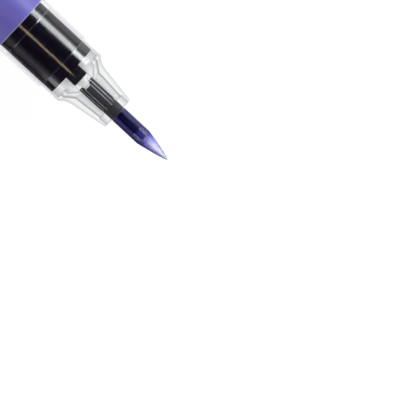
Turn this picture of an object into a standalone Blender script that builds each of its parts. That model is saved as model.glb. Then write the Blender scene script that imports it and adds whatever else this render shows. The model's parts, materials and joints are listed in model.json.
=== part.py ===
"""Brush-tip paint marker with a press valve, its cap posted on the tail.

Every turned piece is drawn as a half section about the marker's own axis: radius outwards and
height from the barrel's tail end (0) towards the brush. One empty then lays that axis along +X.
"""
import math

import bmesh
import bpy
from mathutils import Vector

mm = 0.001

# Clearances
FIT_GAP = 0.05 * mm         # pressed or bonded faces
RUN_GAP = 0.10 * mm         # sliding pieces, on the radius
REST_GAP = 0.20 * mm        # faces that lie against each other and part in use

# Facets
SEGMENTS = 32               # round pieces of the body
SMALL_SEGMENTS = 24         # round pieces of the valve and the brush
FLARE_STEPS = 5             # straight pieces in the nozzle's hollow shoulder
SMOOTH_ANGLE = math.radians(32)

# Barrel and label
BARREL_LENGTH = 110.6 * mm
BARREL_BORE_RADIUS = 5.65 * mm
SKIRT_WALL = 0.40 * mm      # nozzle skirt inside the barrel's counterbore
LIP_WALL = 0.40 * mm        # barrel round the skirt
SKIRT_LENGTH = 9.0 * mm
LABEL_THICKNESS = 0.10 * mm
LABEL_FRONT_MARGIN = 11.1 * mm
LABEL_TAIL_MARGIN = 4.0 * mm

# Nozzle
COLLAR_LENGTH = 4.5 * mm    # straight part in front of the barrel
SHOULDER_LENGTH = 2.45 * mm  # hollow flare between the collar and the cone
SHOULDER_DROP = 1.33 * mm
SNOUT_LENGTH = 7.6 * mm     # straight cone to the mouth
SNOUT_WALL = 1.26 * mm      # at the cone's root
MOUTH_WALL = 0.35 * mm
PLATE_LEDGE = 0.77 * mm     # inner ledge that stops the valve plate
LEDGE_SETBACK = 0.45 * mm   # ledge behind the shoulder's corner
CAVITY_STRAIGHT = 0.7 * mm
CAVITY_CONE = 1.9 * mm
BUSH_LENGTH = 1.85 * mm
BUSH_LEDGE = 0.25 * mm
BUSH_WALL = 1.40 * mm
BUSH_COUNTERSINK = 0.3 * mm

# Brush
HOLDER_RADIUS = 1.75 * mm
HOLDER_STEP = 0.10 * mm     # collar is this much slimmer than the fluted part
HOLDER_PROUD = 0.22 * mm    # in front of the nozzle's mouth
HOLDER_ENGAGEMENT = 0.26 * mm  # tail inside the guide at rest
COLLAR_WALL = 0.20 * mm
FUNNEL_RADIUS = 1.35 * mm
FUNNEL_DEPTH = 0.96 * mm
FUNNEL_FLOOR_RADIUS = 0.60 * mm
WEB_THICKNESS = 0.5 * mm
WEB_HOLE_RADIUS = 0.35 * mm
FLUTE_WIDTH = 0.22 * mm
FLUTE_DEPTH = 0.35 * mm
FLUTE_SPREAD = math.radians(12)  # half the angle between the two flutes of a pair
FLUTE_PAIRS = 4
FLUTE_STAGGER = 0.44 * mm
CORE_RADIUS = 0.60 * mm
CORE_REACH = 0.30 * mm      # core's end in front of the point's base
BRUSH_BULGE = 0.02 * mm     # brush past the collar's radius
BRUSH_FLARE_LENGTH = 0.7 * mm
BRUSH_BODY_LENGTH = 6.60 * mm
BRUSH_POINT_LENGTH = 6.48 * mm
POINT_MID_RADIUS = 0.86 * mm
POINT_TIP_RADIUS = 0.06 * mm
STRAND_BANDS = 3
STRAND_SECTORS = 50
STRAND_GAP = 0.03 * mm
STRAND_STAGGER = 0.35       # share of the point's front half over which strands end

# Valve
PLATE_THICKNESS = 1.65 * mm
PLATE_RING_WALL = 0.65 * mm  # ring on the plate's back that holds the cage
PLATE_RING_LENGTH = 1.5 * mm
GUIDE_LENGTH = 2.35 * mm    # cone-shaped guide in front of the plate
GUIDE_ROOT_RADIUS = 3.9 * mm
GUIDE_ROOT_LENGTH = 0.85 * mm
GUIDE_LIP_WALL = 0.40 * mm
TIP_STROKE = 1.0 * mm
STROKE_RESERVE = 0.24 * mm
VALVE_BORE_RADIUS = 1.73 * mm
NOSE_TIP_RADIUS = 0.45 * mm
NOSE_BASE_RADIUS = 1.50 * mm
NOSE_STANDOFF = 0.1 * mm    # nose base in front of the valve bore
NOSE_LAND = 0.7 * mm
STEM_RADIUS = 1.10 * mm
SEAL_THICKNESS = 0.5 * mm
SEAL_WALL = 1.30 * mm
HEAD_RADIUS = 2.70 * mm
HEAD_THICKNESS = 1.0 * mm
ROD_RADIUS = 0.80 * mm
ROD_INSET = 0.4 * mm        # rod end inside the cage's rear wall
CAGE_SIDE_GAP = 0.30 * mm
CAGE_WALL = 0.60 * mm
CAGE_FLOOR = 0.8 * mm
WINDOW_WIDTH = 2.4 * mm
WINDOW_MARGIN = 0.9 * mm
SPRING_LENGTH = 6.0 * mm    # as fitted
SPRING_RADIUS = 1.75 * mm   # middle of the wire
SPRING_WIRE = 0.40 * mm
SPRING_TURNS = 6
POINTS_PER_TURN = 10
BALL_RADIUS = 2.5 * mm
BALL_FROM_PLUG = 50.0 * mm

# Tail
FLANGE_THICKNESS = 1.5 * mm
FLANGE_CHAMFER = 0.4 * mm
SPIGOT_LENGTH = 8.0 * mm
SPIGOT_WALL = 2.0 * mm
RING_RADIUS = 0.5 * mm      # section of the O-ring
RING_FROM_FLANGE = 4.0 * mm
RING_FACETS = 8

# Cap
BEAD_HEIGHT = 0.20 * mm     # grip bead inside the mouth
BEAD_WIDTH = 1.0 * mm
BEAD_SETBACK = 3.0 * mm
CAP_WALL = 0.90 * mm
CAP_TAPER = 0.30 * mm
CAP_END_THICKNESS = 1.6 * mm
CAP_END_CHAMFER = 0.8 * mm
CAP_TIP_ROOM = 3.4 * mm     # between the brush and the cap's end when capped
LINER_WALL = 0.70 * mm
LINER_FLOOR = 0.8 * mm
LINER_SETBACK = 1.3 * mm    # liner's mouth in front of the cone's root when capped

# Radii worked out from the sizes above
COLLAR_RADIUS = BARREL_BORE_RADIUS + SKIRT_WALL
COUNTERBORE_RADIUS = COLLAR_RADIUS + FIT_GAP
BARREL_RADIUS = COUNTERBORE_RADIUS + LIP_WALL
LABEL_INNER_RADIUS = BARREL_RADIUS + FIT_GAP
LABEL_RADIUS = LABEL_INNER_RADIUS + LABEL_THICKNESS
GRIP_RADIUS = HOLDER_RADIUS - HOLDER_STEP
BUSH_BORE_RADIUS = GRIP_RADIUS + RUN_GAP
BUSH_RADIUS = BUSH_BORE_RADIUS + BUSH_WALL
MOUTH_BORE_RADIUS = BUSH_RADIUS + FIT_GAP
MOUTH_RADIUS = MOUTH_BORE_RADIUS + MOUTH_WALL
SNOUT_ROOT_RADIUS = COLLAR_RADIUS - SHOULDER_DROP
GUIDE_BORE_RADIUS = HOLDER_RADIUS + RUN_GAP
CAGE_INNER_RADIUS = HEAD_RADIUS + CAGE_SIDE_GAP
CAGE_RADIUS = CAGE_INNER_RADIUS + CAGE_WALL
CAP_BORE_RADIUS = LABEL_RADIUS + FIT_GAP + BEAD_HEIGHT
CAP_RADIUS = CAP_BORE_RADIUS + CAP_WALL
LINER_BORE_RADIUS = SNOUT_ROOT_RADIUS

# Heights worked out from the sizes above, tail to tip
SHOULDER_Z = BARREL_LENGTH + COLLAR_LENGTH
SNOUT_ROOT_Z = SHOULDER_Z + SHOULDER_LENGTH
MOUTH_Z = SNOUT_ROOT_Z + SNOUT_LENGTH
LEDGE_Z = SHOULDER_Z - LEDGE_SETBACK
BUSH_SEAT_Z = MOUTH_Z - BUSH_LENGTH - FIT_GAP
PLATE_FRONT_Z = LEDGE_Z - FIT_GAP
PLATE_BACK_Z = PLATE_FRONT_Z - PLATE_THICKNESS
GUIDE_FRONT_Z = PLATE_FRONT_Z + GUIDE_LENGTH
HOLDER_TAIL_Z = GUIDE_FRONT_Z - HOLDER_ENGAGEMENT
GUIDE_FLOOR_Z = HOLDER_TAIL_Z - TIP_STROKE - STROKE_RESERVE
FUNNEL_FLOOR_Z = HOLDER_TAIL_Z + FUNNEL_DEPTH
HOLDER_FRONT_Z = MOUTH_Z + HOLDER_PROUD
POINT_BASE_Z = HOLDER_FRONT_Z + BRUSH_BODY_LENGTH
TIP_Z = POINT_BASE_Z + BRUSH_POINT_LENGTH
HEAD_FRONT_Z = PLATE_BACK_Z - SEAL_THICKNESS - 2 * FIT_GAP
HEAD_BACK_Z = HEAD_FRONT_Z - HEAD_THICKNESS
CAGE_FLOOR_Z = HEAD_BACK_Z - SPRING_LENGTH
FLANGE_BACK_Z = -FIT_GAP - FLANGE_THICKNESS
CAP_DEPTH = LABEL_FRONT_MARGIN + TIP_Z - BARREL_LENGTH + CAP_TIP_ROOM
LINER_LENGTH = CAP_TIP_ROOM + TIP_Z - SNOUT_ROOT_Z - LINER_SETBACK
LINER_MOUTH_Z = FLANGE_BACK_Z - REST_GAP
LINER_END_Z = LINER_MOUTH_Z - LINER_LENGTH
CAP_FLOOR_Z = LINER_END_Z - FIT_GAP
CAP_END_Z = CAP_FLOOR_Z - CAP_END_THICKNESS
CAP_MOUTH_Z = CAP_FLOOR_Z + CAP_DEPTH

# A flat facet of the widest piece faces down, so the axis lies this high
AXIS_HEIGHT = CAP_RADIUS * math.cos(math.pi / SEGMENTS)


def clear_scene():
    for item in list(bpy.data.objects):
        bpy.data.objects.remove(item, do_unlink=True)


def new_collection(name):
    collection = bpy.data.collections.new(name)
    bpy.context.scene.collection.children.link(collection)
    return collection


def new_material(name, colour, roughness, metallic=0.0, transmission=0.0):
    material = bpy.data.materials.new(name)
    material.use_nodes = True
    shader = material.node_tree.nodes["Principled BSDF"]
    shader.inputs["Base Color"].default_value = (*colour, 1.0)
    shader.inputs["Roughness"].default_value = roughness
    shader.inputs["Metallic"].default_value = metallic
    shader.inputs["Transmission Weight"].default_value = transmission
    return material


def place(piece, material):
    """Put a piece in the marker's collection, on the marker's axis, with its material."""
    parts.objects.link(piece)
    piece.parent = marker_axis
    piece.data.materials.append(material)
    return piece


def apply_modifiers(piece):
    """Swap a piece's mesh for the evaluated one and shade its round faces smooth."""
    mesh = bpy.data.meshes.new_from_object(piece.evaluated_get(bpy.context.evaluated_depsgraph_get()))
    piece.modifiers.clear()
    piece.data = mesh
    mesh.name = piece.name
    mesh.shade_smooth()
    mesh.set_sharp_from_angle(angle=SMOOTH_ANGLE)


def clockwise(outline):
    """Order a half section so that its outer side runs downwards and the turned faces point out."""
    following = outline[1:] + outline[:1]
    doubled_area = sum(r0 * z1 - r1 * z0 for (r0, z0), (r1, z1) in zip(outline, following))
    return outline if doubled_area < 0 else outline[::-1]


def turned(name, outline, material, segments=SEGMENTS):
    """Turn a half section of (radius, height) points about the axis.

    A solid piece starts and ends on the axis, and a ring stays off it.
    """
    outline = clockwise(outline)
    half_facet = math.pi / segments
    points = [(r * math.cos(half_facet), r * math.sin(half_facet), z) for r, z in outline]
    edges = [(i, i + 1) for i in range(len(points) - 1)]
    if outline[0][0] > 0:
        edges.append((len(points) - 1, 0))
    profile = bpy.data.meshes.new(name)
    profile.from_pydata(points, edges, [])
    piece = place(bpy.data.objects.new(name, profile), material)
    screw = piece.modifiers.new("Turn", 'SCREW')
    screw.axis = 'Z'
    screw.steps = screw.render_steps = segments
    screw.use_merge_vertices = True
    screw.merge_threshold = 1e-6
    apply_modifiers(piece)
    return piece


def cut(piece, cutter):
    """Subtract a cutter from a piece."""
    boolean = piece.modifiers.new("Cut", 'BOOLEAN')
    boolean.operation = 'DIFFERENCE'
    boolean.object = cutter
    apply_modifiers(piece)


def box_cutter(name, boxes):
    """One cutter made of boxes, each given by its size, its centre and its turn about the axis."""
    mesh = bmesh.new()
    for size, centre, turn in boxes:
        box = bmesh.ops.create_cube(mesh, size=1.0)["verts"]
        for vert in box:
            place_in_box = Vector(a * b for a, b in zip(vert.co, size)) + Vector(centre)
            x, y, z = place_in_box
            vert.co = (x * math.cos(turn) - y * math.sin(turn), x * math.sin(turn) + y * math.cos(turn), z)
    data = bpy.data.meshes.new(name)
    mesh.to_mesh(data)
    mesh.free()
    cutter = bpy.data.objects.new(name, data)
    cutters.objects.link(cutter)
    cutter.parent = marker_axis
    cutter.hide_render = True
    cutter.display_type = 'WIRE'
    return cutter


def hollow_flare(start, end, slope):
    """Arc of (radius, height) points from start to end that runs into a line of the given slope at end."""
    start, end = Vector(start), Vector(end)
    normal = Vector((1.0, -slope)).normalized()
    chord = start - end
    radius = chord.length_squared / (2 * chord.dot(normal))
    centre = end + normal * radius
    first, last = start - centre, end - centre
    sweep = first.angle_signed(last)
    arc = []
    for step in range(FLARE_STEPS + 1):
        angle = -sweep * step / FLARE_STEPS
        x = first.x * math.cos(angle) - first.y * math.sin(angle)
        y = first.x * math.sin(angle) + first.y * math.cos(angle)
        arc.append((centre.x + x, centre.y + y))
    return arc


def make_barrel():
    counterbore_z = BARREL_LENGTH - SKIRT_LENGTH - FIT_GAP
    turned("barrel", [
        (BARREL_RADIUS, 0),
        (BARREL_RADIUS, BARREL_LENGTH),
        (COUNTERBORE_RADIUS, BARREL_LENGTH),
        (COUNTERBORE_RADIUS, counterbore_z),
        (BARREL_BORE_RADIUS, counterbore_z),
        (BARREL_BORE_RADIUS, 0),
    ], clear_plastic)


def make_label():
    front_z = BARREL_LENGTH - LABEL_FRONT_MARGIN
    turned("label_sleeve", [
        (LABEL_RADIUS, LABEL_TAIL_MARGIN),
        (LABEL_RADIUS, front_z),
        (LABEL_INNER_RADIUS, front_z),
        (LABEL_INNER_RADIUS, LABEL_TAIL_MARGIN),
    ], violet_film)


def make_nozzle():
    skirt_z = BARREL_LENGTH - SKIRT_LENGTH
    slope = (MOUTH_RADIUS - SNOUT_ROOT_RADIUS) / SNOUT_LENGTH
    shoulder = hollow_flare((COLLAR_RADIUS, SHOULDER_Z), (SNOUT_ROOT_RADIUS, SNOUT_ROOT_Z), slope)
    cavity_root_radius = BARREL_BORE_RADIUS - PLATE_LEDGE
    cavity_cone_z = LEDGE_Z + CAVITY_STRAIGHT
    turned("nozzle", [
        (BARREL_BORE_RADIUS, skirt_z),
        (COLLAR_RADIUS, skirt_z),
        *shoulder,
        (MOUTH_RADIUS, MOUTH_Z),
        (MOUTH_BORE_RADIUS, MOUTH_Z),
        (MOUTH_BORE_RADIUS, BUSH_SEAT_Z),
        (MOUTH_BORE_RADIUS - BUSH_LEDGE, BUSH_SEAT_Z),
        (SNOUT_ROOT_RADIUS - SNOUT_WALL, cavity_cone_z + CAVITY_CONE),
        (cavity_root_radius, cavity_cone_z),
        (cavity_root_radius, LEDGE_Z),
        (BARREL_BORE_RADIUS, LEDGE_Z),
    ], clear_plastic)


def make_mouth_bush():
    back_z = BUSH_SEAT_Z + FIT_GAP
    turned("mouth_bush", [
        (BUSH_BORE_RADIUS, back_z),
        (BUSH_RADIUS, back_z),
        (BUSH_RADIUS, MOUTH_Z),
        (BUSH_BORE_RADIUS + BUSH_COUNTERSINK, MOUTH_Z),
        (BUSH_BORE_RADIUS, MOUTH_Z - BUSH_COUNTERSINK),
    ], clear_plastic)


def make_valve_plate():
    plate_radius = BARREL_BORE_RADIUS - FIT_GAP
    ring_radius = CAGE_RADIUS + FIT_GAP
    ring_z = PLATE_BACK_Z - PLATE_RING_LENGTH
    turned("valve_plate", [
        (VALVE_BORE_RADIUS, PLATE_BACK_Z),
        (ring_radius, PLATE_BACK_Z),
        (ring_radius, ring_z),
        (ring_radius + PLATE_RING_WALL, ring_z),
        (ring_radius + PLATE_RING_WALL, PLATE_BACK_Z),
        (plate_radius, PLATE_BACK_Z),
        (plate_radius, PLATE_FRONT_Z),
        (GUIDE_ROOT_RADIUS, PLATE_FRONT_Z),
        (GUIDE_ROOT_RADIUS, PLATE_FRONT_Z + GUIDE_ROOT_LENGTH),
        (GUIDE_BORE_RADIUS + GUIDE_LIP_WALL, GUIDE_FRONT_Z),
        (GUIDE_BORE_RADIUS, GUIDE_FRONT_Z),
        (GUIDE_BORE_RADIUS, GUIDE_FLOOR_Z),
        (VALVE_BORE_RADIUS, GUIDE_FLOOR_Z),
    ], clear_plastic)


def make_valve_plunger():
    nose_base_z = GUIDE_FLOOR_Z + NOSE_STANDOFF
    nose_tip_z = FUNNEL_FLOOR_Z - REST_GAP
    rod_end_z = CAGE_FLOOR_Z - ROD_INSET
    turned("valve_plunger", [
        (0, nose_tip_z),
        (NOSE_TIP_RADIUS, nose_tip_z),
        (NOSE_BASE_RADIUS, nose_base_z),
        (NOSE_BASE_RADIUS, nose_base_z - NOSE_LAND),
        (STEM_RADIUS, nose_base_z - NOSE_LAND),
        (STEM_RADIUS, HEAD_FRONT_Z),
        (HEAD_RADIUS, HEAD_FRONT_Z),
        (HEAD_RADIUS, HEAD_BACK_Z),
        (ROD_RADIUS, HEAD_BACK_Z),
        (ROD_RADIUS, rod_end_z),
        (0, rod_end_z),
    ], white_plastic, SMALL_SEGMENTS)


def make_plunger_seal():
    front_z = PLATE_BACK_Z - FIT_GAP
    back_z = front_z - SEAL_THICKNESS
    inner_radius = STEM_RADIUS + FIT_GAP
    turned("plunger_seal", [
        (inner_radius, back_z),
        (inner_radius + SEAL_WALL, back_z),
        (inner_radius + SEAL_WALL, front_z),
        (inner_radius, front_z),
    ], black_rubber, SMALL_SEGMENTS)


def make_valve_cage():
    front_z = PLATE_BACK_Z - FIT_GAP
    back_z = CAGE_FLOOR_Z - CAGE_FLOOR
    hole_radius = ROD_RADIUS + RUN_GAP
    cage = turned("valve_cage", [
        (CAGE_INNER_RADIUS, front_z),
        (CAGE_RADIUS, front_z),
        (CAGE_RADIUS, back_z),
        (hole_radius, back_z),
        (hole_radius, CAGE_FLOOR_Z),
        (CAGE_INNER_RADIUS, CAGE_FLOOR_Z),
    ], grey_plastic)
    window_front_z = PLATE_BACK_Z - PLATE_RING_LENGTH - WINDOW_MARGIN
    window_back_z = CAGE_FLOOR_Z + WINDOW_MARGIN
    size = (3 * CAGE_RADIUS, WINDOW_WIDTH, window_front_z - window_back_z)
    centre = (0, 0, (window_front_z + window_back_z) / 2)
    cut(cage, box_cutter("window_cutter", [(size, centre, turn) for turn in (0, math.pi / 2)]))


def make_valve_spring():
    """Helix between the plunger's head and the cage's floor, with its least gap printed."""
    seat = SPRING_WIRE / 2 + FIT_GAP
    first_z = CAGE_FLOOR_Z + seat
    rise = SPRING_LENGTH - 2 * seat
    count = SPRING_TURNS * POINTS_PER_TURN + 1
    points = []
    for i in range(count):
        angle = math.tau * i / POINTS_PER_TURN
        points.append(Vector((SPRING_RADIUS * math.cos(angle), SPRING_RADIUS * math.sin(angle),
                              first_z + rise * i / (count - 1))))
    half_turn = POINTS_PER_TURN // 2
    least = min((points[j] - points[i]).length
                for i in range(count) for j in range(i + half_turn, count)) - SPRING_WIRE
    print(f"valve_spring least gap to itself: {least / mm:.2f} mm")
    curve = bpy.data.curves.new("valve_spring", 'CURVE')
    curve.dimensions = '3D'
    curve.bevel_depth = SPRING_WIRE / 2
    curve.bevel_resolution = 1
    curve.use_fill_caps = True
    wire = curve.splines.new('POLY')
    wire.points.add(count - 1)
    for target, point in zip(wire.points, points):
        target.co = (*point, 1.0)
    place(bpy.data.objects.new("valve_spring", curve), spring_steel)


def make_mixing_ball():
    """Ball on the floor of the bore, at rest between the plug and the valve."""
    data = bpy.data.meshes.new("mixing_ball")
    mesh = bmesh.new()
    bmesh.ops.create_uvsphere(mesh, u_segments=16, v_segments=12, radius=BALL_RADIUS)
    mesh.to_mesh(data)
    mesh.free()
    data.shade_smooth()
    ball = place(bpy.data.objects.new("mixing_ball", data), spring_steel)
    floor_radius = BARREL_BORE_RADIUS * math.cos(math.pi / SEGMENTS)
    ball.location = (floor_radius - BALL_RADIUS - RUN_GAP, 0, SPIGOT_LENGTH + BALL_FROM_PLUG)


def make_brush_holder():
    root_z = BUSH_SEAT_Z
    web_front_z = FUNNEL_FLOOR_Z + WEB_THICKNESS
    core_bore_radius = CORE_RADIUS + FIT_GAP
    socket_radius = GRIP_RADIUS - COLLAR_WALL
    holder = turned("brush_holder", [
        (FUNNEL_RADIUS, HOLDER_TAIL_Z),
        (HOLDER_RADIUS, HOLDER_TAIL_Z),
        (HOLDER_RADIUS, root_z - HOLDER_STEP - REST_GAP - TIP_STROKE / 2),
        (GRIP_RADIUS, root_z - REST_GAP - TIP_STROKE / 2),
        (GRIP_RADIUS, HOLDER_FRONT_Z),
        (socket_radius, HOLDER_FRONT_Z),
        (socket_radius, root_z),
        (core_bore_radius, root_z),
        (core_bore_radius, web_front_z),
        (WEB_HOLE_RADIUS, web_front_z),
        (WEB_HOLE_RADIUS, FUNNEL_FLOOR_Z),
        (FUNNEL_FLOOR_RADIUS, FUNNEL_FLOOR_Z),
    ], dark_plastic)
    boxes = []
    for pair in range(FLUTE_PAIRS):
        for side in (-1, 1):
            turn = math.tau * (pair + 0.5) / FLUTE_PAIRS + side * FLUTE_SPREAD
            long_flute = (pair % 2 == 0) == (side < 0)
            front_z = root_z - REST_GAP - TIP_STROKE / 2 - (0 if long_flute else FLUTE_STAGGER)
            back_z = HOLDER_TAIL_Z - FLUTE_DEPTH
            size = (2 * FLUTE_DEPTH, FLUTE_WIDTH, front_z - back_z)
            boxes.append((size, (HOLDER_RADIUS, 0, (front_z + back_z) / 2), turn))
    cut(holder, box_cutter("flute_cutter", boxes))


def make_feed_core():
    back_z = FUNNEL_FLOOR_Z + WEB_THICKNESS + FIT_GAP
    front_z = POINT_BASE_Z + CORE_REACH
    turned("feed_core", [
        (0, back_z),
        (CORE_RADIUS, back_z),
        (CORE_RADIUS, front_z),
        (0, front_z),
    ], violet_fibre, SMALL_SEGMENTS)


def make_brush_bristles():
    """Three-sided strands round the core, fused to the slice in the holder's collar.

    A triangulated ring is the slice's front. Each triangle is inset and drawn out through the
    brush's stations, given as (height, inner radius, outer radius), to a tip of its own.
    """
    inner_radius = CORE_RADIUS + FIT_GAP
    brush_radius = GRIP_RADIUS + BRUSH_BULGE
    slice_back_z = BUSH_SEAT_Z + FIT_GAP
    root = (HOLDER_FRONT_Z - FIT_GAP, inner_radius, GRIP_RADIUS - COLLAR_WALL - FIT_GAP)
    middle = (POINT_BASE_Z + BRUSH_POINT_LENGTH / 2, inner_radius / 2, POINT_MID_RADIUS)
    tip = (TIP_Z, 0.0, POINT_TIP_RADIUS)
    stations = [
        (HOLDER_FRONT_Z + BRUSH_FLARE_LENGTH, inner_radius + FIT_GAP, brush_radius),
        (POINT_BASE_Z, inner_radius + FIT_GAP, brush_radius),
        middle,
    ]

    def move(vert, station, target, height):
        share = (math.hypot(vert.co.x, vert.co.y) - station[1]) / (station[2] - station[1])
        angle = math.atan2(vert.co.y, vert.co.x)
        radius = target[1] + share * (target[2] - target[1])
        vert.co = (radius * math.cos(angle), radius * math.sin(angle), height)

    mesh = bmesh.new()
    bmesh.ops.create_grid(mesh, x_segments=STRAND_SECTORS, y_segments=STRAND_BANDS, size=0.5)
    for vert in mesh.verts:
        angle = math.tau * (vert.co.x + 0.5)
        radius = root[1] + (vert.co.y + 0.5) * (root[2] - root[1])
        vert.co = (radius * math.cos(angle), radius * math.sin(angle), root[0])
    bmesh.ops.remove_doubles(mesh, verts=mesh.verts, dist=FIT_GAP / 100)
    bmesh.ops.triangulate(mesh, faces=mesh.faces)
    if mesh.faces[:][0].normal.z < 0:
        bmesh.ops.reverse_faces(mesh, faces=mesh.faces)
    front = list(mesh.faces)
    slab = bmesh.ops.extrude_face_region(mesh, geom=front, use_keep_orig=True)["geom"]
    for vert in (item for item in slab if isinstance(item, bmesh.types.BMVert)):
        vert.co.z = slice_back_z
    bmesh.ops.inset_individual(mesh, faces=front, thickness=STRAND_GAP / 2, use_even_offset=True)
    station = root
    for target in stations:
        front = bmesh.ops.extrude_discrete_faces(mesh, faces=front)["faces"]
        for vert in {vert for face in front for vert in face.verts}:
            move(vert, station, target, target[0])
        station = target
    points = bmesh.ops.poke(mesh, faces=front)["verts"]
    golden = (math.sqrt(5) - 1) / 2
    for i, vert in enumerate(points):
        reach = 1.0 - STRAND_STAGGER * ((i * golden) % 1.0)
        end = [a + reach * (b - a) for a, b in zip(middle, tip)]
        move(vert, middle, end, end[0])
    bmesh.ops.recalc_face_normals(mesh, faces=mesh.faces)
    data = bpy.data.meshes.new("brush_bristles")
    mesh.to_mesh(data)
    mesh.free()
    place(bpy.data.objects.new("brush_bristles", data), violet_fibre)


def make_tail_plug():
    spigot_radius = BARREL_BORE_RADIUS - FIT_GAP
    groove_radius = BARREL_BORE_RADIUS - 2 * RING_RADIUS - 3 * FIT_GAP
    groove_half = RING_RADIUS + FIT_GAP
    turned("tail_plug", [
        (0, FLANGE_BACK_Z),
        (BARREL_RADIUS - FLANGE_CHAMFER, FLANGE_BACK_Z),
        (BARREL_RADIUS, FLANGE_BACK_Z + FLANGE_CHAMFER),
        (BARREL_RADIUS, -FIT_GAP),
        (spigot_radius, -FIT_GAP),
        (spigot_radius, RING_FROM_FLANGE - groove_half),
        (groove_radius, RING_FROM_FLANGE - groove_half),
        (groove_radius, RING_FROM_FLANGE + groove_half),
        (spigot_radius, RING_FROM_FLANGE + groove_half),
        (spigot_radius, SPIGOT_LENGTH),
        (spigot_radius - SPIGOT_WALL, SPIGOT_LENGTH),
        (spigot_radius - SPIGOT_WALL, 0),
        (0, 0),
    ], violet_plastic)


def make_tail_o_ring():
    middle_radius = BARREL_BORE_RADIUS - RING_RADIUS - FIT_GAP - RUN_GAP / 2
    outline = []
    for i in range(RING_FACETS):
        angle = math.tau * (i + 0.5) / RING_FACETS
        outline.append((middle_radius + RING_RADIUS * math.cos(angle),
                        RING_FROM_FLANGE + RING_RADIUS * math.sin(angle)))
    turned("tail_o_ring", outline, black_rubber)


def make_cap_shell():
    end_radius = CAP_RADIUS - CAP_TAPER
    bead_front_z = CAP_MOUTH_Z - BEAD_SETBACK
    bead_back_z = bead_front_z - BEAD_WIDTH
    bead_radius = CAP_BORE_RADIUS - BEAD_HEIGHT
    turned("cap_shell", [
        (0, CAP_END_Z),
        (end_radius - CAP_END_CHAMFER, CAP_END_Z),
        (end_radius, CAP_END_Z + CAP_END_CHAMFER),
        (CAP_RADIUS, CAP_MOUTH_Z),
        (CAP_BORE_RADIUS, CAP_MOUTH_Z),
        (CAP_BORE_RADIUS, bead_front_z + BEAD_HEIGHT),
        (bead_radius, bead_front_z),
        (bead_radius, bead_back_z),
        (CAP_BORE_RADIUS, bead_back_z - BEAD_HEIGHT),
        (CAP_BORE_RADIUS, CAP_FLOOR_Z),
        (0, CAP_FLOOR_Z),
    ], violet_plastic)


def make_inner_cap():
    outer_radius = LINER_BORE_RADIUS + LINER_WALL
    turned("inner_cap", [
        (0, LINER_END_Z),
        (outer_radius, LINER_END_Z),
        (outer_radius, LINER_MOUTH_Z),
        (LINER_BORE_RADIUS, LINER_MOUTH_Z),
        (LINER_BORE_RADIUS, LINER_END_Z + LINER_FLOOR),
        (0, LINER_END_Z + LINER_FLOOR),
    ], white_plastic)


clear_scene()
parts = new_collection("paint_marker")
cutters = new_collection("paint_marker_cutters")

marker_axis = bpy.data.objects.new("marker_axis", None)
marker_axis.location = (-(CAP_END_Z + TIP_Z) / 2, 0, AXIS_HEIGHT)
marker_axis.rotation_euler = (0, math.pi / 2, 0)
parts.objects.link(marker_axis)

clear_plastic = new_material("clear_plastic", (0.90, 0.91, 0.92), 0.05, transmission=1.0)
violet_film = new_material("violet_film", (0.11, 0.095, 0.39), 0.30)
violet_plastic = new_material("violet_plastic", (0.10, 0.085, 0.35), 0.35)
white_plastic = new_material("white_plastic", (0.86, 0.86, 0.85), 0.35)
grey_plastic = new_material("grey_plastic", (0.10, 0.10, 0.11), 0.45)
dark_plastic = new_material("dark_plastic", (0.024, 0.020, 0.028), 0.35)
violet_fibre = new_material("violet_fibre", (0.16, 0.15, 0.42), 0.60)
black_rubber = new_material("black_rubber", (0.02, 0.02, 0.02), 0.70)
spring_steel = new_material("spring_steel", (0.55, 0.55, 0.56), 0.25, metallic=1.0)

make_barrel()
make_label()
make_nozzle()
make_mouth_bush()
make_valve_plate()
make_valve_plunger()
make_plunger_seal()
make_valve_cage()
make_valve_spring()
make_mixing_ball()
make_brush_holder()
make_feed_core()
make_brush_bristles()
make_tail_plug()
make_tail_o_ring()
make_cap_shell()
make_inner_cap()
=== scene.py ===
"""Looks of the brush-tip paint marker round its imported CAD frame.

Turned nodes are turned again from their own half sections, with finer facets and softened
corners. Stations run along +X in the row frame, and radii are measured from the marker's axis.
"""
import json
import math
import random

import bmesh
import bpy
from mathutils import Matrix, Vector


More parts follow.
